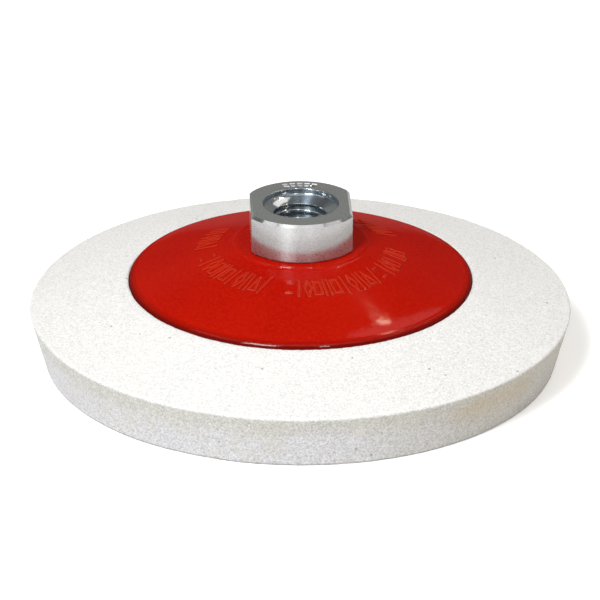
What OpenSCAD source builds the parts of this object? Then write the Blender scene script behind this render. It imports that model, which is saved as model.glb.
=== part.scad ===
// Felt polishing wheel for an angle grinder: a dished ring of pressed wool felt, held
// between a painted steel cup and a clamp plate that are riveted together by a threaded hub.
// It rests on the outer ring of its working face. The origin is the centre of that ring,
// +Z points up along the spin axis to the hub.

/* [Felt ring] */
// Largest diameter of the felt, at its upper edge
felt_d = 125; // [100:1:180]
// Diameter of the ring that the felt rests on
foot_d = 118.8; // [96:0.2:176]
// Height of the felt's upper outer edge above the ground
rim_h = 13; // [6:0.5:20]
// Slope of the dished felt, in degrees from flat
felt_slope = 15; // [5:1:20]

/* [Backing cup] */
// Outer diameter of the pressed cup
cup_d = 79.4; // [60:0.2:95]
// Sheet thickness of the cup
cup_t = 1.2; // [0.8:0.1:2]
// Slope of the cup, in degrees from flat
cup_slope = 18; // [10:0.5:22]
// Radius that rounds the cup's edge
lip_round = 0.8; // [0.4:0.1:1]
// Height of the flat crown that the hub sits on
crown_z = 28.1; // [26:0.1:34]

/* [Threaded hub] */
// Diameter of the hub's head
hub_d = 27.4; // [24.5:0.1:30]
// Width across the two spanner flats
hub_flats = 23.1; // [20:0.1:24]
// Height of the head above the crown
hub_h = 9.2; // [6:0.1:16]
// Chamfer round the head's upper edge
hub_chamfer = 0.6; // [0.2:0.1:1]
// Minor diameter of the M14 x 2 spindle thread
thread_minor_d = 11.84; // [11.8:0.01:12.3]
// Length of the threaded stretch
thread_len = 18; // [10:1:20]
// Diameter of the counterbore at the mouth
mouth_d = 17.4; // [15:0.1:19]
// Depth of the counterbore's straight wall
mouth_wall = 1.1; // [0.2:0.1:2]
// Depth at which the cone under that wall meets the thread
mouth_depth = 2.6; // [2.2:0.1:4]
// Diameter of the plain bore below the thread
relief_d = 14.6; // [14:0.1:15.5]
// Diameter of the neck that is riveted over
neck_d = 18; // [17:0.1:20]
// Diameter of the riveted lip
rivet_d = 22; // [20:0.1:26]

/* [Clamp stack] */
// Outer diameter of the spacer sleeve
sleeve_d = 23; // [21:0.1:28]
// Gap all round between the sleeve and the felt
felt_gap = 0.2; // [0.1:0.1:1]
// Outer diameter of the clamp plate
plate_d = 62; // [44:1:80]
// Diameter of the clamp plate's flat centre
plate_flat_d = 34; // [30:1:40]
// Thickness of the clamp plate
plate_t = 1.5; // [1:0.1:2.5]
// Outer diameter of the rivet washer
washer_d = 27; // [25:0.5:32]
// Thickness of the rivet washer
washer_t = 1.5; // [1:0.1:2]

/* [Hidden] */
$fn = 128;

felt_r = felt_d / 2;
foot_r = foot_d / 2;
cup_r = cup_d / 2;
hub_r = hub_d / 2;
neck_r = neck_d / 2;
plate_r = plate_d / 2;
plate_flat_r = plate_flat_d / 2;

// The cone of the cup starts just outside the hub's head.
crown_r = hub_r + 0.2;
// How far the cup's lip presses into the felt.
lip_bite = 0.9;
// Height of the riveted lip below the washer.
rivet_h = 1.4;
// The hub's top face.
top_z = crown_z + hub_h;

// Height of the felt's upper face and of its working face at radius r.
function felt_top(r) = rim_h + (felt_r - r) * tan(felt_slope);
function felt_under(r) = (foot_r - r) * tan(felt_slope);
// Height of the cup's outer and inner cone at radius r.
function cup_top(r) = crown_z - (r - crown_r) * tan(cup_slope);
function cup_under(r) = cup_top(r) - cup_t / cos(cup_slope);

// Points of a round corner, centred at c, from angle a0 to angle a1.
function arc(c, r, a0, a1, steps) =
    [for (i = [0 : steps]) let (a = a0 + (a1 - a0) * i / steps) c + r * [cos(a), sin(a)]];

lip_centre = [cup_r - lip_round, cup_top(cup_r - lip_round) - lip_round / cos(cup_slope)];
lip_in_r = cup_r - cup_t;
lip_z = felt_top(cup_r) - lip_bite;
crown_under = crown_z - cup_t;
// Radius where the cone's underside meets the crown's flat underside.
crown_under_r = crown_r - cup_t * tan(cup_slope / 2);

seat_z = felt_under(plate_flat_r);
plate_drop = plate_t / cos(felt_slope);
plate_under_r = plate_flat_r - plate_t * tan(felt_slope / 2);
washer_z = seat_z - plate_t - washer_t;
rivet_z = washer_z - rivet_h;
thread_top = top_z - mouth_depth;
thread_end = thread_top - thread_len;

module felt_disc() {
    bore_r = sleeve_d / 2 + felt_gap;
    color([0.93, 0.93, 0.90])
        rotate_extrude()
            polygon([
                [foot_r, 0],
                [felt_r, rim_h],
                [cup_r, felt_top(cup_r)],
                [cup_r, lip_z],
                [lip_in_r, lip_z],
                [lip_in_r, cup_under(lip_in_r)],
                [crown_under_r, crown_under],
                [bore_r, crown_under],
                [bore_r, seat_z],
                [plate_flat_r, seat_z]
            ]);
}

module backing_cup() {
    color([0.78, 0.10, 0.05])
        rotate_extrude()
            polygon(concat(
                [[neck_r, crown_under], [crown_under_r, crown_under]],
                [[lip_in_r, cup_under(lip_in_r)], [lip_in_r, lip_z], [cup_r, lip_z]],
                arc(lip_centre, lip_round, 0, 90 - cup_slope, 6),
                [[crown_r, crown_z], [neck_r, crown_z]]
            ));
}

module threaded_hub() {
    color([0.75, 0.77, 0.80])
        union() {
            intersection() {
                difference() {
                    hub_head();
                    translate([0, 0, crown_z - 1]) cylinder(d = thread_minor_d, h = hub_h + 2);
                    hub_mouth();
                }
                flats_block();
            }
            hub_neck();
        }
}

// The turned head, with its chamfered upper edge.
module hub_head() {
    translate([0, 0, crown_z]) cylinder(r = hub_r, h = hub_h - hub_chamfer);
    translate([0, 0, top_z - hub_chamfer])
        cylinder(r1 = hub_r, r2 = hub_r - hub_chamfer, h = hub_chamfer);
}

// The counterbore, and below it the cone that guides the spindle into the thread.
module hub_mouth() {
    translate([0, 0, thread_top])
        cylinder(d1 = thread_minor_d, d2 = mouth_d, h = mouth_depth - mouth_wall);
    translate([0, 0, top_z - mouth_wall])
        cylinder(d = mouth_d, h = mouth_wall + 1);
}

// What is left between the two spanner flats, with a chamfer along both upper edges.
module flats_block() {
    half = hub_flats / 2;
    rotate([90, 0, 0])
        linear_extrude(height = 2 * hub_r + 2, center = true)
            polygon([
                [-half, crown_z], [half, crown_z],
                [half, top_z - hub_chamfer], [half - hub_chamfer, top_z],
                [hub_chamfer - half, top_z], [-half, top_z - hub_chamfer]
            ]);
}

// The neck below the head: thread, plain bore and the lip riveted over the washer.
module hub_neck() {
    thread_r = thread_minor_d / 2;
    relief_r = relief_d / 2;
    rotate_extrude()
        polygon([
            [thread_r, crown_z], [thread_r, thread_end],
            [relief_r, thread_end - (relief_r - thread_r)], [relief_r, washer_z],
            [rivet_d / 2 - rivet_h, rivet_z], [rivet_d / 2, rivet_z],
            [rivet_d / 2, washer_z], [neck_r, washer_z], [neck_r, crown_z]
        ]);
}

module spacer_sleeve() {
    color([0.62, 0.64, 0.67])
        translate([0, 0, seat_z])
            difference() {
                cylinder(d = sleeve_d, h = crown_under - seat_z);
                translate([0, 0, -1]) cylinder(r = neck_r, h = crown_under - seat_z + 2);
            }
}

module clamp_plate() {
    color([0.60, 0.61, 0.63])
        rotate_extrude()
            polygon([
                [neck_r, seat_z], [neck_r, seat_z - plate_t],
                [plate_under_r, seat_z - plate_t],
                [plate_r, felt_under(plate_r) - plate_drop],
                [plate_r, felt_under(plate_r)],
                [plate_flat_r, seat_z]
            ]);
}

module rivet_washer() {
    color([0.70, 0.71, 0.73])
        translate([0, 0, washer_z])
            difference() {
                cylinder(d = washer_d, h = washer_t);
                translate([0, 0, -1]) cylinder(r = neck_r, h = washer_t + 2);
            }
}

felt_disc();
backing_cup();
threaded_hub();
spacer_sleeve();
clamp_plate();
rivet_washer();
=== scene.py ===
# %% [markdown]
# # A felt polishing wheel
# This lesson builds the looks of a felt polishing wheel around its finished CAD model.
# The wheel is a thick ring of pressed wool felt. A red pressed-steel cup holds it from
# above, a steel plate holds it from below, and a threaded hub is riveted through all of them.
# The CAD model already says how large each piece is and where it sits, so the first step
# only loads that frame. Every new mesh is made in metres in the same frame.

# %% Load the frame
import math

import bpy
import numpy as np
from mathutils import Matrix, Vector


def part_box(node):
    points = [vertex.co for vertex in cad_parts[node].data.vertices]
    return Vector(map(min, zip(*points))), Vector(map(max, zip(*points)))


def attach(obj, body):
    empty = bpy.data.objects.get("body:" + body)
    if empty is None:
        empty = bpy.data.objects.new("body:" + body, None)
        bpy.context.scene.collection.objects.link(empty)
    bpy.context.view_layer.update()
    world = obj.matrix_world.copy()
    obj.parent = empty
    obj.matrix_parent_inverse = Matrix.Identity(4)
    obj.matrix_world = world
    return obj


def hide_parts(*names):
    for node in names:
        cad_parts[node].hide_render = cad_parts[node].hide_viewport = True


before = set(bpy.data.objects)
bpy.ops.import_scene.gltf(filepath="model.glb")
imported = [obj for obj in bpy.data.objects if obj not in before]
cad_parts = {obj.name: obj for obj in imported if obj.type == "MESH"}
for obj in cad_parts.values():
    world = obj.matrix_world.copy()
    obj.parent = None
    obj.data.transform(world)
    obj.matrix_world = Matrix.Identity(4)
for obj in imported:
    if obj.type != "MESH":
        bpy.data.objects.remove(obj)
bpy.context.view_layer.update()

MM = 0.001
print("CAD pieces:", ", ".join(sorted(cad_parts)))

# %% [markdown]
# ## The camera
# The camera comes first, because everything after it is judged through it. The wheel is
# looked down on from a quarter of the way up, from a little to the left of the spanner
# flats. A long lens from 0.8 m away keeps the circles nearly true ellipses. The lens is
# aimed just above the table, so that the hub has room at the top of the picture.

# %% Camera
CAMERA_DISTANCE = 0.8
CAMERA_UP = math.radians(25.17)
CAMERA_LEFT = math.radians(2.5)
CAMERA_ROLL = math.radians(0.23)
AIM_HEIGHT = 12.9 * MM
AIM_RIGHT = -0.1 * MM

camera_data = bpy.data.cameras.new("camera")
camera_data.lens = 205.7
camera_data.clip_end = 20
camera = bpy.data.objects.new("camera", camera_data)
bpy.context.scene.collection.objects.link(camera)
camera.location = CAMERA_DISTANCE * Vector((
    -math.sin(CAMERA_LEFT) * math.cos(CAMERA_UP),
    -math.cos(CAMERA_LEFT) * math.cos(CAMERA_UP),
    math.sin(CAMERA_UP),
))
look = Vector((AIM_RIGHT, 0, AIM_HEIGHT)) - camera.location
camera.rotation_euler = look.to_track_quat("-Z", "Y").to_euler()
camera.rotation_euler.rotate_axis("Z", CAMERA_ROLL)
bpy.context.scene.camera = camera
bpy.context.scene.view_settings.view_transform = "Standard"
print("camera at", [round(c, 3) for c in camera.location])

# %% [markdown]
# ## Measures from the frame
# The boxes of the CAD nodes give the radii and heights that the looks have to meet. The
# slopes aren't in a box, so they are worked out from two heights or stated once, here.

# %% Measures, in millimetres
def node_radius(node):
    """Half the width of a round node, across Y, where no flat cuts it."""
    low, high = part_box(node)
    return (high.y - low.y) / 2 / MM


def node_heights(node):
    low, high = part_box(node)
    return low.z / MM, high.z / MM


FELT_SLOPE = math.radians(15)
CUP_SLOPE = math.radians(18)
felt_r = node_radius("felt_disc")
foot_r = 59.4
rim_z = 13.0
cup_r = node_radius("backing_cup")
cup_t = 1.2
lip_z, crown_z = node_heights("backing_cup")
hub_r = node_radius("threaded_hub")
rivet_z, top_z = node_heights("threaded_hub")
flat_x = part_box("threaded_hub")[1].x / MM
neck_r = 9.0
plate_r = node_radius("clamp_plate")
seat_z = node_heights("clamp_plate")[1]
plate_flat_r = 17.0
plate_t = 1.5
sleeve_r = node_radius("spacer_sleeve")
washer_r = node_radius("rivet_washer")
washer_low_z, washer_top_z = node_heights("rivet_washer")
CROWN_MARGIN = 0.2
crown_r = hub_r + CROWN_MARGIN
crown_under_z = crown_z - cup_t


def felt_top(r):
    return rim_z + (felt_r - r) * math.tan(FELT_SLOPE)


def felt_under(r):
    return (foot_r - r) * math.tan(FELT_SLOPE)


def cup_top(r):
    return crown_z - (r - crown_r) * math.tan(CUP_SLOPE)


print(f"felt {2 * felt_r:.1f} mm, cup {2 * cup_r:.1f} mm")
print(f"hub {2 * hub_r:.1f} mm, height {top_z:.1f} mm")

# %% [markdown]
# ## Helpers for round pieces
# Nearly every piece is turned, pressed or moulded round one axis. A lathe does that on a
# bench. One vertex is extruded from point to point until it has drawn half of the piece's
# section, and a Screw modifier with no climb sweeps that outline round the Z axis. It makes
# hundreds of steps much faster than Spin does. A corner is given as an arc, because a real
# edge is never perfectly sharp.

# %% Lathe helpers
def start_piece():
    if bpy.context.object and bpy.context.object.mode != "OBJECT":
        bpy.ops.object.mode_set(mode="OBJECT")
    bpy.ops.object.select_all(action="DESELECT")


def arc(centre, radius, from_deg, to_deg, steps):
    """Points on an arc in the section plane, where 0 degrees points outwards and 90 up."""
    angles = np.radians(np.linspace(from_deg, to_deg, steps + 1))
    return [(centre[0] + radius * math.cos(a), centre[1] + radius * math.sin(a)) for a in angles]


def line(start, end, step):
    """Points from start towards end, about a step apart, without the last one."""
    count = max(1, round(math.dist(start, end) / step))
    return [tuple(np.add(start, np.subtract(end, start) * i / count)) for i in range(count)]


def draw_outline(name, outline, closed=True):
    """Draws points (radius, height) in millimetres as a chain of edges in the XZ plane."""
    start_piece()
    points = [Vector((r, 0, z)) * MM for r, z in outline]
    bpy.ops.mesh.primitive_plane_add(size=MM, location=points[0])
    piece = bpy.context.object
    piece.name = name
    bpy.ops.object.transform_apply(location=True)
    bpy.ops.object.mode_set(mode="EDIT")
    bpy.ops.mesh.select_mode(type="VERT")
    bpy.ops.mesh.select_all(action="SELECT")
    bpy.ops.mesh.merge(type="CENTER")
    for before, after in zip(points, points[1:]):
        bpy.ops.mesh.extrude_region_move(TRANSFORM_OT_translate={"value": after - before})
    bpy.ops.object.mode_set(mode="OBJECT")
    if closed:
        ends = (0, len(points) - 1)
        for vertex in piece.data.vertices:
            vertex.select = vertex.index in ends
        bpy.ops.object.mode_set(mode="EDIT")
        bpy.ops.mesh.edge_face_add()
        bpy.ops.object.mode_set(mode="OBJECT")
    return piece


def clean_up(piece):
    """Merges doubled points and turns every face outwards."""
    bpy.ops.object.mode_set(mode="EDIT")
    bpy.ops.mesh.select_all(action="SELECT")
    bpy.ops.mesh.remove_doubles(threshold=1e-7)
    bpy.ops.mesh.normals_make_consistent(inside=False)
    bpy.ops.object.mode_set(mode="OBJECT")


def turn_round(piece, steps, turns=1, rise=0.0):
    """Sweeps an outline round Z with a Screw modifier; rise is the climb of each turn."""
    bpy.ops.object.modifier_add(type="SCREW")
    screw = piece.modifiers[-1]
    screw.axis = "Z"
    screw.steps = steps
    screw.render_steps = steps
    screw.iterations = turns
    screw.screw_offset = rise * MM
    screw.use_merge_vertices = rise == 0
    screw.merge_threshold = 1e-6
    bpy.ops.object.modifier_apply(modifier=screw.name)
    clean_up(piece)


def lathe(name, outline, steps, closed=True):
    piece = draw_outline(name, outline, closed)
    turn_round(piece, steps)
    faces = len(piece.data.polygons)
    print(f"{name}: {len(outline)} points turned in {steps} steps, {faces} faces")
    return piece


def trim(piece, point, away):
    """Cuts a closed piece at a plane through a point in millimetres, and closes the cut."""
    bpy.ops.object.mode_set(mode="EDIT")
    bpy.ops.mesh.select_all(action="SELECT")
    bpy.ops.mesh.bisect(
        plane_co=Vector(point) * MM, plane_no=away, use_fill=True, clear_outer=True, threshold=1e-7
    )
    bpy.ops.object.mode_set(mode="OBJECT")


def use_only(piece):
    start_piece()
    piece.select_set(True)
    bpy.context.view_layer.objects.active = piece


def smooth(piece, angle_deg=35):
    use_only(piece)
    bpy.ops.object.shade_smooth_by_angle(angle=math.radians(angle_deg))


def finish_piece(piece, material, replaced):
    """Gives a finished piece its material, and puts it in the frame for its CAD node."""
    piece.data.materials.clear()
    piece.data.materials.append(material)
    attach(piece, "root")
    if replaced:
        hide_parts(replaced)


# %% [markdown]
# ## Helpers for materials
# Each finish is a small network of nodes that reads the piece's Object coordinates, which
# are metres here. A noise with a scale of 1000 therefore has grains about a millimetre wide.

# %% Node helpers
def new_material(name):
    material = bpy.data.materials.new(name)
    material.use_nodes = True
    return material, material.node_tree, material.node_tree.nodes["Principled BSDF"]


def place(tree):
    return tree.nodes.new("ShaderNodeTexCoord").outputs["Object"]


def stretched(tree, scale, shift=(0, 0, 0)):
    mapping = tree.nodes.new("ShaderNodeMapping")
    mapping.inputs["Scale"].default_value = scale
    mapping.inputs["Location"].default_value = shift
    tree.links.new(place(tree), mapping.inputs["Vector"])
    return mapping.outputs["Vector"]


def noise(tree, scale, detail=4, roughness=0.6, distortion=0.0, vector=None):
    node = tree.nodes.new("ShaderNodeTexNoise")
    node.inputs["Scale"].default_value = scale
    node.inputs["Detail"].default_value = detail
    node.inputs["Roughness"].default_value = roughness
    node.inputs["Distortion"].default_value = distortion
    tree.links.new(vector or place(tree), node.inputs["Vector"])
    return node.outputs["Fac"]


def ramp(tree, value, stops):
    """Turns a value into a colour or a grey through stops of (place, colour)."""
    node = tree.nodes.new("ShaderNodeValToRGB")
    ramp_stops = node.color_ramp.elements
    while len(ramp_stops) < len(stops):
        ramp_stops.new(0.5)
    for stop, (where, colour) in zip(ramp_stops, stops):
        stop.position = where
        grey = (colour, colour, colour) if isinstance(colour, (int, float)) else colour
        stop.color = (*grey, 1)
    tree.links.new(value, node.inputs["Fac"])
    return node.outputs["Color"]


def mixed(tree, share, first, second, how="MIX"):
    """Mixes two colours by a share; each input is a socket or a plain value."""
    node = tree.nodes.new("ShaderNodeMix")
    node.data_type = "RGBA"
    node.blend_type = how
    sockets = (node.inputs[0], node.inputs[6], node.inputs[7])
    for socket, value in zip(sockets, (share, first, second)):
        if isinstance(value, bpy.types.NodeSocket):
            tree.links.new(value, socket)
        elif isinstance(value, tuple):
            socket.default_value = (*value, 1)
        else:
            socket.default_value = value
    return node.outputs[2]


def calculated(tree, how, *values):
    node = tree.nodes.new("ShaderNodeMath")
    node.operation = how
    for socket, value in zip(node.inputs, values):
        if isinstance(value, bpy.types.NodeSocket):
            tree.links.new(value, socket)
        else:
            socket.default_value = value
    return node.outputs[0]


def bumped(tree, height, distance, strength=1.0, under=None):
    node = tree.nodes.new("ShaderNodeBump")
    node.inputs["Distance"].default_value = distance
    node.inputs["Strength"].default_value = strength
    tree.links.new(height, node.inputs["Height"])
    if under is not None:
        tree.links.new(under, node.inputs["Normal"])
    return node.outputs["Normal"]


def coordinate(tree, axis):
    node = tree.nodes.new("ShaderNodeSeparateXYZ")
    tree.links.new(place(tree), node.inputs[0])
    return node.outputs[axis]


def wave(tree, kind, scale, distortion):
    """A wave of RINGS round Z or of BANDS up Z."""
    node = tree.nodes.new("ShaderNodeTexWave")
    node.wave_type = kind
    node.rings_direction = "Z"
    node.bands_direction = "Z"
    node.inputs["Scale"].default_value = scale
    node.inputs["Distortion"].default_value = distortion
    tree.links.new(place(tree), node.inputs["Vector"])
    return node.outputs["Fac"]


print("node helpers ready")

# %% [markdown]
# ## The felt ring: shape
# Pressed wool felt is dense, but its corners are always a little soft and its faces are
# never quite flat. The section is drawn with rounded edges and many short steps, so that a
# Displace modifier has points to move. Where the cup's lip bites, the felt dips, and under
# the clamp plate it is squeezed flat. The dish is open below: the wheel stands on its foot.

# %% Felt outline
FELT_EDGE = 0.55
FELT_STEP = 0.46
UNDER_STEP = 0.62
FELT_STEPS = 640
SLEEVE_GAP = 0.2

rim_lean = math.degrees(math.atan2(felt_r - foot_r, rim_z))
slope_deg = math.degrees(FELT_SLOPE)
edge_centre = (felt_r - FELT_EDGE * 1.02, rim_z - FELT_EDGE * 0.86)
foot_centre = (foot_r - FELT_EDGE * 1.25, FELT_EDGE)

foot_arc = arc(foot_centre, FELT_EDGE, -90, -rim_lean, 5)
edge_arc = arc(edge_centre, FELT_EDGE, -rim_lean, 90 - slope_deg, 5)
dip_r = cup_r + 1.6
felt_outline = list(foot_arc)
felt_outline += line(foot_arc[-1], edge_arc[0], FELT_STEP)[1:]
felt_outline += edge_arc
felt_outline += line(edge_arc[-1], (dip_r, felt_top(dip_r)), FELT_STEP)[1:]
felt_outline += [(dip_r, felt_top(dip_r)), (cup_r + 0.9, felt_top(cup_r + 0.9) - 0.08)]
felt_outline += [(cup_r + 0.35, felt_top(cup_r) - 0.2), (cup_r + 0.03, felt_top(cup_r) - 0.5)]
felt_outline += [(cup_r + 0.03, lip_z), (cup_r - cup_t, lip_z)]
felt_outline += [(cup_r - cup_t, cup_top(cup_r - cup_t) - cup_t - 0.1)]
felt_outline += [(crown_r, crown_under_z), (sleeve_r + SLEEVE_GAP, crown_under_z)]
felt_outline += [(sleeve_r + SLEEVE_GAP, seat_z), (plate_flat_r, seat_z)]
felt_outline += [(plate_r, felt_under(plate_r)), (plate_r + 0.6, felt_under(plate_r) - 0.5)]
swell_r = plate_r + 2.4
dish_end = (foot_centre[0] - 1, felt_under(foot_r - 1))
felt_outline += line((swell_r, felt_under(swell_r)), dish_end, UNDER_STEP)
felt_outline += [(foot_centre[0] - 0.5, 0.16)]
print("felt section:", len(felt_outline), "points")

# %% [markdown]
# The outline goes on the lathe in so many steps that each face is only a little over half a
# millimetre wide at the rim. The relief that comes next needs points that close together.

# %% Felt ring
felt_ring = lathe("felt_ring", felt_outline, FELT_STEPS)

# %% [markdown]
# The surface comes from three Displace modifiers, one above the other: a slow unevenness of
# the whole pressing, lumps of a few millimetres, and the fine nap. Each reads a cloud
# texture in the piece's own space, and each is applied, so the mesh itself holds the relief.
# No point is left below the table.

# %% Felt surface
def displace(piece, name, grain_mm, depth_mm):
    texture = bpy.data.textures.new(name, "CLOUDS")
    texture.noise_scale = grain_mm * MM
    texture.noise_depth = 2
    use_only(piece)
    bpy.ops.object.modifier_add(type="DISPLACE")
    modifier = piece.modifiers[-1]
    modifier.texture = texture
    modifier.texture_coords = "LOCAL"
    modifier.strength = depth_mm * MM
    modifier.mid_level = 0.5
    bpy.ops.object.modifier_apply(modifier=modifier.name)
    print(f"{piece.name}: {name}, grains {grain_mm} mm, {depth_mm} mm deep")


displace(felt_ring, "slow unevenness", 24, 0.34)
displace(felt_ring, "lumps", 4.5, 0.10)
displace(felt_ring, "nap", 1.0, 0.15)

heights = np.empty(len(felt_ring.data.vertices) * 3)
felt_ring.data.vertices.foreach_get("co", heights)
heights = heights.reshape(-1, 3)
heights[:, 2] = np.maximum(heights[:, 2], 0)
felt_ring.data.vertices.foreach_set("co", heights.ravel())
felt_ring.data.update()
smooth(felt_ring, 60)

# %% [markdown]
# ## The felt: finish
# Wool felt is matt and nearly white, but not evenly: there are paler and greyer tufts a
# millimetre or so across, and now and then a dark speck of burr. The rim is greyer than the
# face. Its colour carries a painted light tint by height: cooler low down, where the table's
# bounce light falls, and warmer near the top. It has cream patches and a few brown stains.
# One side has a yellowing stain that is also darkened as painted shade, and a painted shadow
# line runs where it meets the table. A little sheen brightens the surface towards its edges,
# where loose fibres catch the light.

# %% Felt material
def spot(tree, centre_mm, reach_mm):
    """1 at a point of the piece, fading to 0 at a distance that is given for each axis."""
    scale = [1 / (reach * MM) for reach in reach_mm]
    shift = [-c * MM * k for c, k in zip(centre_mm, scale)]
    node = tree.nodes.new("ShaderNodeTexGradient")
    node.gradient_type = "SPHERICAL"
    tree.links.new(stretched(tree, scale, shift), node.inputs["Vector"])
    return node.outputs["Fac"]


def on_the_rim(angle, height):
    """A place on the felt's rim, in millimetres, at an angle round the wheel."""
    turn = math.radians(angle)
    return felt_r * math.cos(turn), felt_r * math.sin(turn), height


TUFT_GREY, TUFT_PALE = (0.77, 0.77, 0.765), (0.905, 0.903, 0.895)
CLOUD_TONE = (0.80, 0.797, 0.77)
RIM_PAINTED_BOUNCE_COOL, RIM_PAINTED_TOP_WARM = (0.775, 0.77, 0.802), (0.70, 0.69, 0.655)
RIM_CREAM, RIM_YELLOWING_AND_SHADE = (0.75, 0.732, 0.695), (0.63, 0.595, 0.53)
YELLOWING_SHADE_AT, YELLOWING_SHADE_REACH = (335, 5), (62, 62, 30)
STAIN_BROWN, STAIN_HEIGHT = (0.58, 0.46, 0.30), 8.5
STAINS = ((313, (11, 11, 5)), (305, (8, 8, 4)), (321, (8, 8, 4)))
SPECK_SCALE, SPECK_SIZE, SPECK_RARITY = 300, 0.10, 0.87
SPECK_BROWN = (0.20, 0.17, 0.13)


def make_felt():
    material, tree, shader = new_material("pressed_wool_felt")
    grain = noise(tree, 2300, 3, 0.8)
    tufts = noise(tree, 1100, 4, 0.7, 0.6)
    clouds = noise(tree, 90, 3, 0.5)
    colour = ramp(tree, tufts, [(0.30, TUFT_GREY), (0.60, TUFT_PALE)])
    grain_shade = ramp(tree, grain, [(0.36, 0.70), (0.56, 1.0)])
    colour = mixed(tree, 1.0, colour, grain_shade, "MULTIPLY")
    colour = mixed(tree, ramp(tree, clouds, [(0.35, 0.0), (0.75, 0.3)]), colour, CLOUD_TONE)

    wander = calculated(tree, "MULTIPLY", noise(tree, 140, 2, 0.5), 0.30)
    height = calculated(tree, "MULTIPLY", coordinate(tree, 2), 1 / (rim_z * MM))
    painted_light_height = calculated(tree, "ADD", height, wander)
    # Painted light: the rim's tint grades by height, cool low down for the table's bounce light and
    # warm near the top.
    rim_tone_and_shade = ramp(tree, painted_light_height, [(0.72, RIM_PAINTED_BOUNCE_COOL), (0.90, RIM_PAINTED_TOP_WARM)])
    patches = ramp(tree, noise(tree, 210, 3, 0.6), [(0.44, 0.0), (0.64, 0.7)])
    rim_tone_and_shade = mixed(tree, patches, rim_tone_and_shade, RIM_CREAM)
    # One side of the rim gets a yellowing stain that also darkens it as painted shade, away from
    # the key light.
    yellowing_and_shade = spot(tree, on_the_rim(*YELLOWING_SHADE_AT), YELLOWING_SHADE_REACH)
    yellowing_and_shade = calculated(tree, "MULTIPLY", yellowing_and_shade, 1.3)
    yellowing_and_shade = calculated(tree, "MINIMUM", yellowing_and_shade, 0.8)
    rim_tone_and_shade = mixed(tree, yellowing_and_shade, rim_tone_and_shade, RIM_YELLOWING_AND_SHADE)
    pores = ramp(tree, noise(tree, 1900, 4, 0.9), [(0.36, 0.60), (0.56, 1.0)])
    rim_tone_and_shade = mixed(tree, 1.0, rim_tone_and_shade, pores, "MULTIPLY")
    stain = noise(tree, 320, 4, 0.65)
    for angle, reach in STAINS:
        near_stain = spot(tree, on_the_rim(angle, STAIN_HEIGHT), reach)
        share = calculated(tree, "MULTIPLY", near_stain, stain)
        share = calculated(tree, "MULTIPLY", share, 1.1)
        rim_tone_and_shade = mixed(tree, share, rim_tone_and_shade, STAIN_BROWN)
    # Painted shadow: the rim darkens to a dark line where it meets the table.
    painted_contact_shadow = ramp(tree, height, [(0.0, 0.35), (0.05, 1.0)])
    rim_tone_and_shade = mixed(tree, 1.0, rim_tone_and_shade, painted_contact_shadow, "MULTIPLY")
    on_rim = ramp(tree, height, [(0.945, 1.0), (0.995, 0.0)])
    colour = mixed(tree, on_rim, colour, mixed(tree, 1.0, colour, rim_tone_and_shade, "MULTIPLY"))

    cells = tree.nodes.new("ShaderNodeTexVoronoi")
    cells.inputs["Scale"].default_value = SPECK_SCALE
    tree.links.new(place(tree), cells.inputs["Vector"])
    near = calculated(tree, "LESS_THAN", cells.outputs["Distance"], SPECK_SIZE)
    chosen = tree.nodes.new("ShaderNodeSeparateColor")
    tree.links.new(cells.outputs["Color"], chosen.inputs[0])
    rare = calculated(tree, "GREATER_THAN", chosen.outputs[0], SPECK_RARITY)
    speck = calculated(tree, "MULTIPLY", near, rare)
    colour = mixed(tree, calculated(tree, "MULTIPLY", speck, 0.6), colour, SPECK_BROWN)
    tree.links.new(colour, shader.inputs["Base Color"])
    shader.inputs["Roughness"].default_value = 0.95
    shader.inputs["Specular IOR Level"].default_value = 0.2
    shader.inputs["Sheen Weight"].default_value = 0.25
    shader.inputs["Sheen Roughness"].default_value = 0.5
    fine = bumped(tree, grain, 0.0002, 0.8)
    tree.links.new(bumped(tree, tufts, 0.0003, 0.6, fine), shader.inputs["Normal"])
    return material


finish_piece(felt_ring, make_felt(), "felt_disc")
print("felt finished")

# %% [markdown]
# ## Loose fibres
# A felt surface is never shaved clean: short fibres stand off it, most of all along its
# edges. One fibre is modelled once, as a three-sided cylinder cut into a few rings. A few
# thousand copies would be slow with operators, so its points are copied with arrays. Each
# copy gets its own place, direction, length and curl from a seeded generator.

# %% One fibre
FIBRE_RINGS = 4
start_piece()
bpy.ops.mesh.primitive_cylinder_add(vertices=3, radius=1, depth=1, location=(0, 0, 0.5))
fibre = bpy.context.object
bpy.ops.object.transform_apply(location=True)
for cut in range(1, FIBRE_RINGS - 1):
    bpy.ops.object.mode_set(mode="EDIT")
    bpy.ops.mesh.select_all(action="SELECT")
    height = cut / (FIBRE_RINGS - 1)
    bpy.ops.mesh.bisect(plane_co=(0, 0, height), plane_no=(0, 0, 1), threshold=1e-7)
    bpy.ops.object.mode_set(mode="OBJECT")
fibre_points = np.array([v.co for v in fibre.data.vertices])
fibre_faces = [tuple(face.vertices) for face in fibre.data.polygons]
bpy.data.objects.remove(fibre)
print("one fibre:", len(fibre_points), "points,", len(fibre_faces), "faces")


# %% [markdown]
# Four stretches of the felt get fibres: the rim, its upper edge, the face and the dish. A
# fibre starts just under the surface, leaves it at a low slope, curls to one side and gets
# thinner towards its tip. All the copies together make one mesh.

# %% Fibres along the felt
FIBRE_SHORTEST, FIBRE_LONGEST = 0.7, 2.4
FIBRE_THINNEST, FIBRE_EXTRA = 0.016, 0.014
FIBRE_CURL, FIBRE_DROP = 1.1, 0.25
FIBRE_SINK = 0.03
FIBRE_TAPER = 0.6


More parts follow.
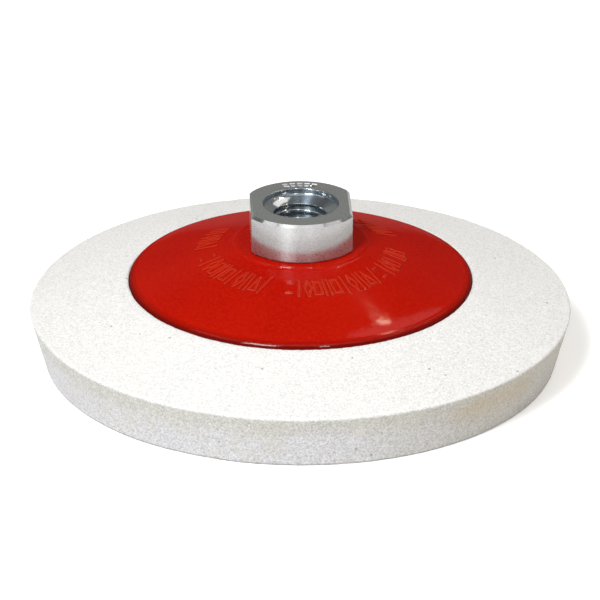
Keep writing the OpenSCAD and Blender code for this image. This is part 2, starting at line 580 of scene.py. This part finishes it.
def scatter_fibres(name, count, start, end, seed, lift=0.35):
    """Fibres on the cone between two section points; lift is how steeply they leave it."""
    pick = np.random.default_rng(seed)
    start, end = np.array(start), np.array(end)
    along = (end - start) / np.linalg.norm(end - start)
    share = pick.random(count)[:, None]
    section = start + (end - start) * share
    angle = pick.random(count) * math.tau
    radial = np.stack([np.cos(angle), np.sin(angle), np.zeros(count)], 1)
    around = np.stack([-np.sin(angle), np.cos(angle), np.zeros(count)], 1)
    up = np.array([0.0, 0.0, 1.0])
    base = radial * section[:, :1] + up * section[:, 1:]
    down_slope = radial * along[0] + up * along[1]
    outward = radial * along[1] - up * along[0]
    turn = (pick.random(count) * math.tau)[:, None]
    direction = np.cos(turn) * down_slope + np.sin(turn) * around
    direction += outward * (pick.random(count)[:, None] * lift)
    direction /= np.linalg.norm(direction, axis=1)[:, None]
    side = np.cross(direction, outward)
    side /= np.linalg.norm(side, axis=1)[:, None]
    length = FIBRE_SHORTEST + pick.random(count) ** 2 * (FIBRE_LONGEST - FIBRE_SHORTEST)
    length = length[:, None, None]
    curl = (pick.random(count) - 0.5)[:, None, None] * FIBRE_CURL
    drop = pick.random(count)[:, None, None] * FIBRE_DROP
    width = (FIBRE_THINNEST + pick.random(count) * FIBRE_EXTRA)[:, None, None]
    step = fibre_points[None, :, 2:3]
    points = base[:, None] + direction[:, None] * step * length
    points = points + side[:, None] * step ** 2 * curl * length
    points = points - outward[:, None] * (step ** 2 * drop * length + FIBRE_SINK)
    thin = width * (1 - FIBRE_TAPER * step)
    points = points + side[:, None] * fibre_points[None, :, 0:1] * thin
    points = points + np.cross(direction, side)[:, None] * fibre_points[None, :, 1:2] * thin
    print(f"fibres on the {name}: {count}")
    return points.reshape(-1, 3) * MM


def on_face(r):
    return r, felt_top(r)


def in_dish(r):
    return r, felt_under(r)


# The rim's fibres start from the outline's last point, just inside the foot.
scattered = [
    scatter_fibres("rim", 1500, felt_outline[-1], edge_arc[0], 11),
    scatter_fibres("upper edge", 1100, edge_arc[0], on_face(felt_r - 1.2), 12, 0.8),
    scatter_fibres("face", 1900, on_face(felt_r - 0.6), on_face(cup_r + 2.5), 13),
    scatter_fibres("dish", 900, in_dish(plate_r + 2), in_dish(foot_r - 1.5), 14),
]
fibre_cloud = np.concatenate(scattered)
fibre_cloud[:, 2] = np.maximum(fibre_cloud[:, 2], 0.02 * MM)
copies = len(fibre_cloud) // len(fibre_points)
cloud_faces = [
    tuple(corner + copy * len(fibre_points) for corner in face)
    for copy in range(copies) for face in fibre_faces
]
fibre_mesh = bpy.data.meshes.new("loose_fibres")
fibre_mesh.from_pydata(fibre_cloud.tolist(), [], cloud_faces)
loose_fibres = bpy.data.objects.new("loose_fibres", fibre_mesh)
bpy.context.scene.collection.objects.link(loose_fibres)
print("loose fibres:", copies)


# %% [markdown]
# A single fibre is a little smoother than the felt, and its tone drifts from one to the next.

# %% Fibre material
def make_fibre():
    material, tree, shader = new_material("wool_fibre")
    tone = noise(tree, 300, 2, 0.5)
    colour = ramp(tree, tone, [(0.3, (0.72, 0.71, 0.68)), (0.7, (0.88, 0.87, 0.84))])
    tree.links.new(colour, shader.inputs["Base Color"])
    shader.inputs["Roughness"].default_value = 0.7
    shader.inputs["Specular IOR Level"].default_value = 0.3
    return material


finish_piece(loose_fibres, make_fibre(), None)

# %% [markdown]
# ## The backing cup: shape
# The cup is pressed from one sheet: a flat crown under the hub, a rounded step, a cone, and an
# edge that is rolled down into the felt. Marks are stamped round the cone. They need real
# relief to catch the light, so the section has very short steps where they go, and the lathe
# turns in nearly a thousand steps.

# %% Cup outline
CUP_STEPS = 960
LIP_ROUND = 1.8
ROLL_WIDTH, ROLL_CURVE = 5.5, 0.0125
MARK_INNER, MARK_OUTER = 18.2, 25.4
MARK_STEP, STEP_ABOVE, STEP_BELOW = 0.16, 0.5, 1.6
CROWN_R, CROWN_ROUND = 15.6, 0.55

cup_deg = math.degrees(CUP_SLOPE)
roll_r = cup_r - ROLL_WIDTH


def rolled_top(r):
    """The cone's height, and near the lip a gentle roll below it."""
    return cup_top(r) - ROLL_CURVE * max(0.0, r - roll_r) ** 2


def on_top(r):
    return r, cup_top(r)


lip_inner = cup_r - LIP_ROUND
lip_centre = (lip_inner, rolled_top(lip_inner) - LIP_ROUND / math.cos(CUP_SLOPE))
crown_centre = (CROWN_R - CROWN_ROUND, crown_z - CROWN_ROUND)
lip_arc = arc(lip_centre, LIP_ROUND, 90 - cup_deg - 6, 4, 12)
inner_r = cup_r - cup_t

cup_outline = [(neck_r, crown_z), (hub_r, crown_z)]
cup_outline += arc(crown_centre, CROWN_ROUND, 90, 22, 8)
cup_outline += [(CROWN_R + 0.04, crown_z - 0.44)]
cup_outline += [(CROWN_R + 0.22, cup_top(CROWN_R + 0.22) + 0.03)]
cup_outline += line(on_top(CROWN_R + 0.6), on_top(MARK_INNER), STEP_ABOVE)
cup_outline += line(on_top(MARK_INNER), on_top(MARK_OUTER), MARK_STEP)
cup_outline += line(on_top(MARK_OUTER), on_top(roll_r), STEP_BELOW)
cup_outline += [(r, rolled_top(r)) for r in np.linspace(roll_r, lip_arc[0][0] - 0.3, 10)]
cup_outline += lip_arc
cup_outline += [(cup_r - 0.25, lip_z), (inner_r, lip_z)]
cup_outline += [(inner_r, cup_top(inner_r) - cup_t / math.cos(CUP_SLOPE))]
cup_outline += [(crown_r - cup_t * math.tan(CUP_SLOPE / 2), crown_under_z)]
cup_outline += [(neck_r, crown_under_z)]
painted_cup = lathe("painted_cup", cup_outline, CUP_STEPS)

# %% [markdown]
# The marks are plain figures in groups, such as bars, boxes and diamonds, and an arrow for
# the way the wheel turns. Each is a set of lines with a start and an end on the cone. A
# vertex near a line is lifted along the cone's own upward direction, most on the line and
# less towards its edges, as a blunt punch from below would lift the sheet. The lift is also
# kept with each vertex, from 0 to 1, so that the paint can follow it.

# %% Stamped marks
MARK_RISE = 0.22
MARK_HALF = 0.18
MARK_SOFT = 0.26
MARK_LOW, MARK_HIGH = 19.3, 24.3
MARK_WIDE = 4.0
MARK_PITCH = 5.6

# Each figure is a set of lines; a point is (across, up), both from 0 to 1.
FIGURES = {
    "bar": [(0.5, 0, 0.5, 1)],
    "two bars": [(0.15, 0, 0.15, 1), (0.85, 0, 0.85, 1)],
    "diamond": [(0, 0.5, 0.5, 1), (0.5, 1, 1, 0.5), (1, 0.5, 0.5, 0), (0.5, 0, 0, 0.5)],
    "box": [(0, 0.1, 0, 0.9), (0, 0.9, 1, 0.9), (1, 0.9, 1, 0.1), (1, 0.1, 0, 0.1)],
    "slant": [(0.1, 0, 0.9, 1)],
    "wedge": [(0, 0.1, 0.5, 0.95), (0.5, 0.95, 1, 0.1), (1, 0.1, 0, 0.1)],
    "dashes": [(0.1, 0.2, 0.9, 0.2), (0.1, 0.8, 0.9, 0.8)],
}
FIGURE_ROW = [
    "box", "bar", "diamond", "two bars", "wedge", "slant",
    "dashes", "bar", "diamond", "box", "two bars",
]
# Each group is the angle of its first figure, and its number of figures.
GROUPS = [(145, 6), (188, 6), (221, 5), (259, 15), (347, 2), (20, 6)]


def index_figures():
    """(angle, radius) start and end of every line, figure after figure in each group."""
    lines, made = [], 0
    tall = MARK_HIGH - MARK_LOW
    for first, count in GROUPS:
        for i in range(count):
            left = first + i * MARK_PITCH
            for x0, y0, x1, y1 in FIGURES[FIGURE_ROW[made % len(FIGURE_ROW)]]:
                start = (left + x0 * MARK_WIDE, MARK_HIGH - y0 * tall)
                end = (left + x1 * MARK_WIDE, MARK_HIGH - y1 * tall)
                lines.append((start, end))
            made += 1
    return lines


def turning_arrow(first, last, radius, head):
    """An arc with a two-line head, for the way that the wheel turns."""
    angles = np.linspace(first, last, 13)
    lines = [((a, radius), (b, radius)) for a, b in zip(angles, angles[1:])]
    back = last - math.copysign(math.degrees(head / radius), last - first)
    return lines + [((last, radius), (back, radius + side)) for side in (head, -head)]


def on_cone(angle, radius):
    turn = math.radians(angle)
    return np.array([radius * math.cos(turn), radius * math.sin(turn)])


def press_marks(piece, strokes):
    """Lifts the cone along each stroke, and gives the largest lift in millimetres."""
    points = np.empty(len(piece.data.vertices) * 3)
    piece.data.vertices.foreach_get("co", points)
    points = points.reshape(-1, 3) / MM
    radius = np.hypot(points[:, 0], points[:, 1])
    outer = points[:, 2] > cup_top(radius) - 0.2
    band = (radius > MARK_INNER - 0.1) & (radius < MARK_OUTER + 0.1) & outer
    flat = points[band][:, :2]
    lift = np.zeros(len(flat))
    for start, end in strokes:
        a, b = on_cone(*start), on_cone(*end)
        share = np.clip((flat - a) @ (b - a) / ((b - a) @ (b - a)), 0, 1)
        far = np.linalg.norm(flat - (a + share[:, None] * (b - a)), axis=1)
        rise = np.clip((MARK_HALF + MARK_SOFT - far) / MARK_SOFT, 0, 1)
        lift = np.maximum(lift, rise * rise * (3 - 2 * rise))
    height = np.zeros(len(points))
    height[band] = lift
    piece.data.attributes.new("lift", "FLOAT", "POINT").data.foreach_set("value", height)
    lift *= MARK_RISE
    out = flat / np.linalg.norm(flat, axis=1)[:, None] * math.sin(CUP_SLOPE)
    points[band] += np.column_stack([out * lift[:, None], lift * math.cos(CUP_SLOPE)])
    piece.data.vertices.foreach_set("co", (points * MM).ravel())
    piece.data.update()
    return lift.max()


ARROW_FROM, ARROW_TO, ARROW_HEAD = 118, 66, 1.6
strokes = index_figures()
strokes += turning_arrow(ARROW_FROM, ARROW_TO, (MARK_LOW + MARK_HIGH) / 2, ARROW_HEAD)
highest = press_marks(painted_cup, strokes)
print("stamped lines:", len(strokes), "highest", round(highest, 2), "mm")
smooth(painted_cup, 50)

# %% [markdown]
# ## The cup: finish
# Gloss enamel is a coloured base under a clear, hard skin. The base alone has no shine. The
# skin is the Principled shader's coat: thin, so that it doesn't grey the red at shallow
# angles, but with a high index, so that small lights still glint in it. A very shallow bump
# makes the slight orange peel of sprayed paint. The base colour also carries painted light:
# painted shade at the foot of each mark and beside the felt, and a painted highlight on each
# mark's crest.

# %% Enamel material
ENAMEL_DEEP, ENAMEL_RED = (0.35, 0.0030, 0.0006), (0.39, 0.0055, 0.0010)
ENAMEL_GRAIN, PAINTED_CREST_HIGHLIGHT = (0.46, 0.012, 0.002), (0.55, 0.055, 0.018)
LIP_SHADE_START, LIP_SHADE_HEIGHT = 0.2, 1.3


def make_enamel():
    material, tree, shader = new_material("red_gloss_enamel")
    drift = noise(tree, 45, 2, 0.5)
    colour = ramp(tree, drift, [(0.3, ENAMEL_DEEP), (0.7, ENAMEL_RED)])
    grain = noise(tree, 1500, 3, 0.6)
    colour = mixed(tree, ramp(tree, grain, [(0.42, 0.0), (0.70, 0.6)]), colour, ENAMEL_GRAIN)
    lift = tree.nodes.new("ShaderNodeAttribute")
    lift.attribute_name = "lift"
    # Painted shade: the colour darkens at the foot of each stamped mark.
    painted_foot_shade = ramp(tree, lift.outputs["Fac"], [(0.0, 1.0), (0.15, 0.50), (0.45, 0.80), (0.6, 1.0)])
    colour = mixed(tree, 1.0, colour, painted_foot_shade, "MULTIPLY")
    # Painted highlight: the colour lightens to orange on each mark's crest.
    crest = ramp(tree, lift.outputs["Fac"], [(0.4, 0.0), (0.7, 0.6), (1.0, 0.15)])
    colour = mixed(tree, crest, colour, PAINTED_CREST_HIGHLIGHT)
    # Painted shade: the paint darkens on the lip just above the felt, where the contact shadow
    # falls.
    shade_foot = (felt_top(cup_r) - LIP_SHADE_START) * MM
    above_felt = calculated(tree, "SUBTRACT", coordinate(tree, 2), shade_foot)
    above_felt = calculated(tree, "MULTIPLY", above_felt, 1 / (LIP_SHADE_HEIGHT * MM))
    lip_shade = ramp(tree, above_felt, [(0.2, 0.32), (0.95, 1.0)])
    colour = mixed(tree, 1.0, colour, lip_shade, "MULTIPLY")
    tree.links.new(colour, shader.inputs["Base Color"])
    shader.inputs["Roughness"].default_value = 0.45
    shader.inputs["Specular IOR Level"].default_value = 0.0
    shader.inputs["Coat Weight"].default_value = 0.05
    shader.inputs["Coat IOR"].default_value = 3.0
    shader.inputs["Coat Roughness"].default_value = 0.08
    peel = bumped(tree, noise(tree, 330, 2, 0.5), 0.00012, 0.35)
    fine = bumped(tree, noise(tree, 1400, 2, 0.5), 0.00003, 0.5, peel)
    tree.links.new(fine, shader.inputs["Normal"])
    tree.links.new(fine, shader.inputs["Coat Normal"])
    return material


finish_piece(painted_cup, make_enamel(), "backing_cup")

# %% [markdown]
# ## The hub: blank
# The hub is turned from bar: a head, a neck that goes down through the stack, and a lip that
# is rolled over the washer when the wheel is riveted. The lathe makes it solid. Bisect then
# mills the two spanner flats, and Bevel cuts the chamfer round the upper edge.

# %% Hub blank
HUB_CHAMFER = 0.6
RIVET_R = 11.0
RIVET_ROUND = 0.65
HUB_STEPS = 192

hub_outline = [(0, rivet_z + 0.4), (8.4, rivet_z + 0.1), (9.0, rivet_z)]
hub_outline += arc((RIVET_R - RIVET_ROUND, rivet_z + RIVET_ROUND), RIVET_ROUND, -90, 75, 6)
hub_outline += [(RIVET_R - RIVET_ROUND, washer_low_z), (neck_r, washer_low_z)]
hub_outline += [(neck_r, crown_z), (hub_r - 0.3, crown_z), (hub_r, crown_z + 0.3)]
hub_outline += [(hub_r, top_z), (0, top_z)]
zinc_hub = lathe("zinc_hub", hub_outline, HUB_STEPS, closed=False)

for side in (-1, 1):
    trim(zinc_hub, (side * flat_x, 0, 0), (side, 0, 0))


def select_edges(piece, wanted):
    """Selects the edges whose two ends pass a test, and leaves the piece in edit mode."""
    bpy.ops.object.mode_set(mode="EDIT")
    bpy.ops.mesh.select_mode(type="EDGE")
    bpy.ops.mesh.select_all(action="DESELECT")
    bpy.ops.object.mode_set(mode="OBJECT")
    ends = [vertex.co / MM for vertex in piece.data.vertices]
    chosen = 0
    for edge in piece.data.edges:
        edge.select = wanted(ends[edge.vertices[0]], ends[edge.vertices[1]])
        chosen += edge.select
    bpy.ops.object.mode_set(mode="EDIT")
    return chosen


def on_top_rim(a, b):
    far = min(math.hypot(a.x, a.y), math.hypot(b.x, b.y))
    return min(a.z, b.z) > top_z - 0.01 and far > flat_x - 0.01


def on_flat_corner(a, b):
    upright = abs(a.x - b.x) < 0.01 and abs(a.y - b.y) < 0.01 and abs(a.z - b.z) > 1
    return upright and abs(abs(a.x) - flat_x) < 0.01


print("upper edges:", select_edges(zinc_hub, on_top_rim))
bpy.ops.mesh.bevel(offset=HUB_CHAMFER * MM, segments=1, affect="EDGES")
bpy.ops.object.mode_set(mode="OBJECT")
print("corners of the flats:", select_edges(zinc_hub, on_flat_corner))
bpy.ops.mesh.bevel(offset=0.15 * MM, segments=2, affect="EDGES")
bpy.ops.object.mode_set(mode="OBJECT")

# %% [markdown]
# ## The hub: thread
# A real thread is cut with a tap, so a tap is modelled and taken away from the blank. Its
# section is one groove of the M14 x 2 form. The Screw modifier winds that section up a
# helix, one pitch for each turn, and Bisect trims both ends flat, which closes the solid.

# %% The tap
PITCH = 2.0
THREAD_MINOR = 5.92
THREAD_MAJOR = 7.0
THREAD_TOP = top_z - 2.6
THREAD_END = THREAD_TOP - 18.0
flank = (THREAD_MAJOR - THREAD_MINOR) * math.tan(math.radians(30))
crest = (PITCH - 2 * flank) * 2 / 3
turns = 13
first_crest = 2.5
tap_low = top_z - first_crest - 0.4 * crest - (turns - 2.75) * PITCH

groove = [(THREAD_MINOR, 0), (THREAD_MINOR, crest * 0.82), (THREAD_MINOR + 0.03, crest * 0.95)]
groove += [(THREAD_MINOR + 0.12, crest + 0.07), (THREAD_MAJOR, crest + flank)]
groove += [(THREAD_MAJOR, PITCH - flank), (THREAD_MINOR + 0.12, PITCH - 0.07)]
groove += [(THREAD_MINOR + 0.03, PITCH - 0.02), (THREAD_MINOR, PITCH)]
tap = draw_outline("tap", [(r, z + tap_low) for r, z in groove], closed=False)
turn_round(tap, 72, turns, PITCH)
for height, side in ((THREAD_END - 0.5, -1), (THREAD_TOP + 1.2, 1)):
    trim(tap, (0, 0, height), (0, 0, side))
clean_up(tap)
print("tap:", len(tap.data.polygons), "faces,", turns, "turns wound")

# %% [markdown]
# The tap, a tool for the countersunk mouth and a plain drill for the relief below the thread
# are taken away with Boolean modifiers. A cutter is deleted once it has been used.

# %% Cutting
MOUTH_R = 8.7
RELIEF_R = 7.3


def cut(piece, cutter):
    use_only(piece)
    bpy.ops.object.modifier_add(type="BOOLEAN")
    modifier = piece.modifiers[-1]
    modifier.operation = "DIFFERENCE"
    modifier.solver = "EXACT"
    modifier.object = cutter
    bpy.ops.object.modifier_apply(modifier=modifier.name)
    bpy.data.objects.remove(cutter)
    print(f"{piece.name}: {len(piece.data.polygons)} faces after the cut")


mouth_outline = [(0, THREAD_TOP - 0.5), (THREAD_MINOR - 0.4, THREAD_TOP - 0.5)]
mouth_outline += [(THREAD_MINOR + 0.25, THREAD_TOP + 0.1), (MOUTH_R - 0.35, top_z - 1.40)]
mouth_outline += arc((MOUTH_R - 0.25, top_z - 1.15), 0.25, -50, 0, 4)
mouth_outline += arc((MOUTH_R + 0.2, top_z - 0.2), 0.2, 180, 90, 5)
mouth_outline += [(MOUTH_R + 0.5, top_z + 0.5), (0, top_z + 0.5)]
mouth_tool = lathe("mouth_tool", mouth_outline, HUB_STEPS, closed=False)
relief_outline = [(0, rivet_z - 1), (RELIEF_R + 0.5, rivet_z - 1), (RELIEF_R + 0.5, rivet_z)]
relief_outline += [(RELIEF_R, rivet_z + 0.7), (RELIEF_R, THREAD_END - 1.2)]
relief_outline += [(THREAD_MINOR - 0.3, THREAD_END + 0.3), (0, THREAD_END + 0.3)]
relief_drill = lathe("relief_drill", relief_outline, HUB_STEPS, closed=False)
for tool in (tap, mouth_tool, relief_drill):
    cut(zinc_hub, tool)

# %% [markdown]
# Small square bars cut the punch marks on the top face. A bar with one edge down leaves a V
# groove, as a chisel punch does. The marks are plain strokes and spell nothing.

# %% Punch marks
PUNCH_R = 10.9
PUNCH_DEPTH = 0.32
PUNCH_ANGLES = (72, 80.5, 89, 97.5, 106)


def chisel(angle, radius, slant, length):
    """A square bar with one edge down, at an angle round the hub, and slanted to the radius."""
    start_piece()
    bpy.ops.mesh.primitive_cylinder_add(
        vertices=4, radius=3 * PUNCH_DEPTH * MM, depth=length * MM, rotation=(math.pi / 2, 0, 0)
    )
    tool = bpy.context.object
    bpy.ops.object.transform_apply(rotation=True)
    low = min(vertex.co.z for vertex in tool.data.vertices)
    turn = math.radians(angle)
    tool.location = Vector((
        radius * MM * math.cos(turn), radius * MM * math.sin(turn), (top_z - PUNCH_DEPTH) * MM - low
    ))
    tool.rotation_euler = (0, 0, turn + math.radians(90 + slant))
    bpy.ops.object.transform_apply(location=True, rotation=True)
    return tool


for punch, angle in enumerate(PUNCH_ANGLES):
    cut(zinc_hub, chisel(angle, PUNCH_R + 0.75, 90, 1.3))
    if punch % 2:
        cut(zinc_hub, chisel(angle, PUNCH_R - 0.65, 90, 1.0))
    else:
        cut(zinc_hub, chisel(angle, PUNCH_R - 0.5, 65, 1.35))
clean_up(zinc_hub)
smooth(zinc_hub, 28)

# %% [markdown]
# ## The hub: finish
# Bright zinc plate is a bluish metal with a fine crystalline speckle. The lathe's feed marks
# still show through it: rings on the top face and level lines round the head. They draw the
# reflections on the head out up and down, which the anisotropic base does here, except on the
# flat top face. The coat on top is a second, smoother mirror. The bore's colour and coat are
# tinted bluer, a painted reflection. The plain steel pieces use the same network with other
# tints.

# %% Zinc material
BORE_PAINTED_REFLECTION_BLUE = (0.84, 0.93, 1.0)
SPECKLE = 0.45
ZINC_STRETCH = 0.95


def in_the_bore(tree):
    """1 on the mouth and the thread, and 0 on the outside of the hub."""
    across = tree.nodes.new("ShaderNodeVectorMath")
    across.operation = "LENGTH"
    tree.links.new(stretched(tree, (1, 1, 0)), across.inputs[0])
    inside = calculated(tree, "LESS_THAN", across.outputs["Value"], (MOUTH_R + 0.1) * MM)
    below = calculated(tree, "LESS_THAN", coordinate(tree, 2), (top_z - 0.05) * MM)
    return calculated(tree, "MULTIPLY", inside, below)


def make_zinc(name, tint, rough):
    material, tree, shader = new_material(name)
    spots = noise(tree, 2600, 3, 0.7)
    low = tuple(c * (1 - SPECKLE) for c in tint)
    colour = ramp(tree, spots, [(0.34, low), (0.52, tint)])
    # Painted reflection: the bore's base colour and coat tint are made blue.
    colour = mixed(tree, in_the_bore(tree), colour, BORE_PAINTED_REFLECTION_BLUE, "MULTIPLY")
    tree.links.new(colour, shader.inputs["Base Color"])
    shader.inputs["Metallic"].default_value = 1.0
    faced = calculated(tree, "GREATER_THAN", coordinate(tree, 2), (top_z - 0.02) * MM)
    stretch = calculated(tree, "MULTIPLY_ADD", faced, -ZINC_STRETCH, ZINC_STRETCH)
    tree.links.new(stretch, shader.inputs["Anisotropic"])
    shader.inputs["Anisotropic Rotation"].default_value = 0.25
    tangent = tree.nodes.new("ShaderNodeTangent")
    tangent.direction_type = "RADIAL"
    tangent.axis = "Z"
    tree.links.new(tangent.outputs[0], shader.inputs["Tangent"])
    wear = noise(tree, 260, 3, 0.6)
    roughness = ramp(tree, wear, [(0.3, rough * 0.9), (0.75, rough * 1.1)])
    tree.links.new(roughness, shader.inputs["Roughness"])
    shader.inputs["Coat Weight"].default_value = 1.0
    shader.inputs["Coat IOR"].default_value = 4.0
    shader.inputs["Coat Roughness"].default_value = 0.11
    coat_tint = mixed(tree, in_the_bore(tree), (1.0, 1.0, 1.0), BORE_PAINTED_REFLECTION_BLUE)
    tree.links.new(coat_tint, shader.inputs["Coat Tint"])
    turned = bumped(tree, wave(tree, "RINGS", 1100, 1.5), 0.000004, 0.35)
    turned = bumped(tree, wave(tree, "BANDS", 1500, 2.0), 0.000004, 0.35, turned)
    tree.links.new(bumped(tree, spots, 0.000012, 0.5, turned), shader.inputs["Normal"])
    tree.links.new(bumped(tree, spots, 0.000008, 0.4), shader.inputs["Coat Normal"])
    return material


hub_zinc = make_zinc("bright_zinc_plate", (0.31, 0.325, 0.335), 0.50)
finish_piece(zinc_hub, hub_zinc, "threaded_hub")

# %% [markdown]
# ## The clamp stack
# From below, the dish shows how the wheel is held together: a pressed plate with a
# stiffening bead, a washer, and the hub's rolled lip. The plate and the washer are lathed
# with rounded edges. The sleeve stays out of sight inside the felt, so its CAD shape is
# enough, with a turned-steel finish in its material slot.

# %% Clamp plate and washer
BEAD_R, BEAD_HALF, BEAD_DEPTH = 24.0, 2.2, 0.55


def plate_under(r):
    slope = FELT_SLOPE if r > plate_flat_r else 0
    return min(seat_z, felt_under(r)) - plate_t / math.cos(slope)


def bead(r):
    """How far the stiffening bead stands out of the plate at a radius."""
    if abs(r - BEAD_R) >= BEAD_HALF:
        return 0
    return BEAD_DEPTH * max(0.0, math.cos((r - BEAD_R) / BEAD_HALF * math.pi / 2))


edge = plate_t / 2
tip = (plate_r - edge, felt_under(plate_r - edge) - edge / math.cos(FELT_SLOPE))
plate_outline = [(neck_r, seat_z), (plate_flat_r, seat_z)]
plate_outline += arc(tip, edge, 90 - slope_deg, -90 - slope_deg, 8)
under_r = np.arange(plate_r - 2, plate_flat_r + 0.4, -0.4)
plate_outline += [(r, plate_under(r) - bead(r)) for r in under_r]
plate_outline += [(plate_flat_r - 0.2, seat_z - plate_t), (neck_r + 0.1, seat_z - plate_t)]
pressed_plate = lathe("pressed_plate", plate_outline, 240)
smooth(pressed_plate, 40)

WASHER_EDGE = 0.3
low_z, high_z = washer_low_z, washer_top_z
washer_outline = [(neck_r, high_z), (washer_r - WASHER_EDGE, high_z)]
washer_outline += arc((washer_r - WASHER_EDGE, high_z - WASHER_EDGE), WASHER_EDGE, 90, 0, 3)[1:]
washer_outline += arc((washer_r - WASHER_EDGE, low_z + WASHER_EDGE), WASHER_EDGE, 0, -90, 3)
washer_outline += [(neck_r, low_z)]
stamped_washer = lathe("stamped_washer", washer_outline, 144)
smooth(stamped_washer, 40)

plate_steel = make_zinc("pressed_plate_steel", (0.58, 0.59, 0.60), 0.50)
washer_zinc = make_zinc("washer_zinc", (0.64, 0.66, 0.70), 0.45)
finish_piece(pressed_plate, plate_steel, "clamp_plate")
finish_piece(stamped_washer, washer_zinc, "rivet_washer")
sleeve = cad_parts["spacer_sleeve"]
sleeve.data.materials.clear()
sleeve.data.materials.append(make_zinc("sleeve_steel", (0.50, 0.51, 0.52), 0.35))

# %% [markdown]
# ## Table and light
# The wheel lies on a plain white table that glows a little, so its shadows stay faint. The
# key light, from the front left, makes the near side of the felt the brightest. A narrow one
# stands to its right, and a wide one overhead and two at the sides fill in. The last three
# lights are weak, and stand behind the wheel to be mirrored in the zinc and the paint. The
# grey surroundings darken overhead, and the metal mirrors them too.

# %% Stage
start_piece()
bpy.ops.mesh.primitive_plane_add(size=6, location=(0, 0, 0))
table = bpy.context.object
table.name = "table"
table_material, _, table_shader = new_material("white_table")
table_shader.inputs["Base Color"].default_value = (0.9, 0.9, 0.9, 1)
table_shader.inputs["Roughness"].default_value = 0.9
table_shader.inputs["Specular IOR Level"].default_value = 0.0
table_shader.inputs["Emission Color"].default_value = (1, 1, 1, 1)
table_shader.inputs["Emission Strength"].default_value = 0.30
table.data.materials.append(table_material)


def soft_light(name, place_at, aim, size, power, tint):
    data = bpy.data.lights.new(name, "AREA")
    data.shape = "RECTANGLE"
    data.size, data.size_y = size
    data.energy = power
    data.color = tint
    lamp = bpy.data.objects.new(name, data)
    bpy.context.scene.collection.objects.link(lamp)
    lamp.location = place_at
    beam = Vector(aim) - Vector(place_at)
    lamp.rotation_euler = beam.to_track_quat("-Z", "Y").to_euler()


def lamp_place(distance, turned_deg, raised_deg):
    """A place in front of the wheel, turned to the right of the camera's side and raised."""
    turned, raised = math.radians(turned_deg), math.radians(raised_deg)
    return (
        distance * math.cos(raised) * math.sin(turned),
        -distance * math.cos(raised) * math.cos(turned),
        distance * math.sin(raised),
    )


WHEEL_CENTRE = (0, 0, 0.02)
WHITE = (1, 1, 1)
# name, distance, degrees to the right, degrees up, width and height, watts, tint
LIGHTS = [
    ("key", 1.2, -33, 48, (0.32, 0.36), 11.2, WHITE),
    ("second", 1.2, 16, 46, (0.10, 0.30), 1.8, WHITE),
    ("top", 1.3, 0, 68, (1.4, 0.5), 2.9, WHITE),
    ("upper left", 1.2, -78, 51, (0.55, 0.30), 0.8, WHITE),
    ("upper right", 1.2, 80, 51, (0.55, 0.30), 0.5, WHITE),
    ("back right", 1.2, 137, 53, (0.30, 0.60), 1.0, (1.0, 0.97, 0.94)),
    ("strip", 1.2, 108, 52, (0.02, 0.45), 0.8, (1.0, 0.72, 0.45)),
    ("glint", 1.2, 151, 54.7, (0.04, 0.03), 0.30, (1.0, 0.8, 0.6)),
]
for name, distance, turned, raised, size, power, tint in LIGHTS:
    soft_light(name, lamp_place(distance, turned, raised), WHEEL_CENTRE, size, power, tint)

world = bpy.data.worlds.new("surroundings")
bpy.context.scene.world = world
world.use_nodes = True
world_tree = world.node_tree
direction = world_tree.nodes.new("ShaderNodeTexCoord").outputs["Generated"]
parts = world_tree.nodes.new("ShaderNodeSeparateXYZ")
world_tree.links.new(direction, parts.inputs[0])
HORIZON, OVERHEAD = (0.33, 0.338, 0.315), (0.13, 0.13, 0.13)
SKY_STOPS = [(0.0, HORIZON), (0.45, HORIZON), (0.70, OVERHEAD)]
sky = ramp(world_tree, parts.outputs[2], SKY_STOPS)
background = world_tree.nodes["Background"]
world_tree.links.new(sky, background.inputs["Color"])
background.inputs["Strength"].default_value = 1.0
print("lights:", ", ".join(light[0] for light in LIGHTS))
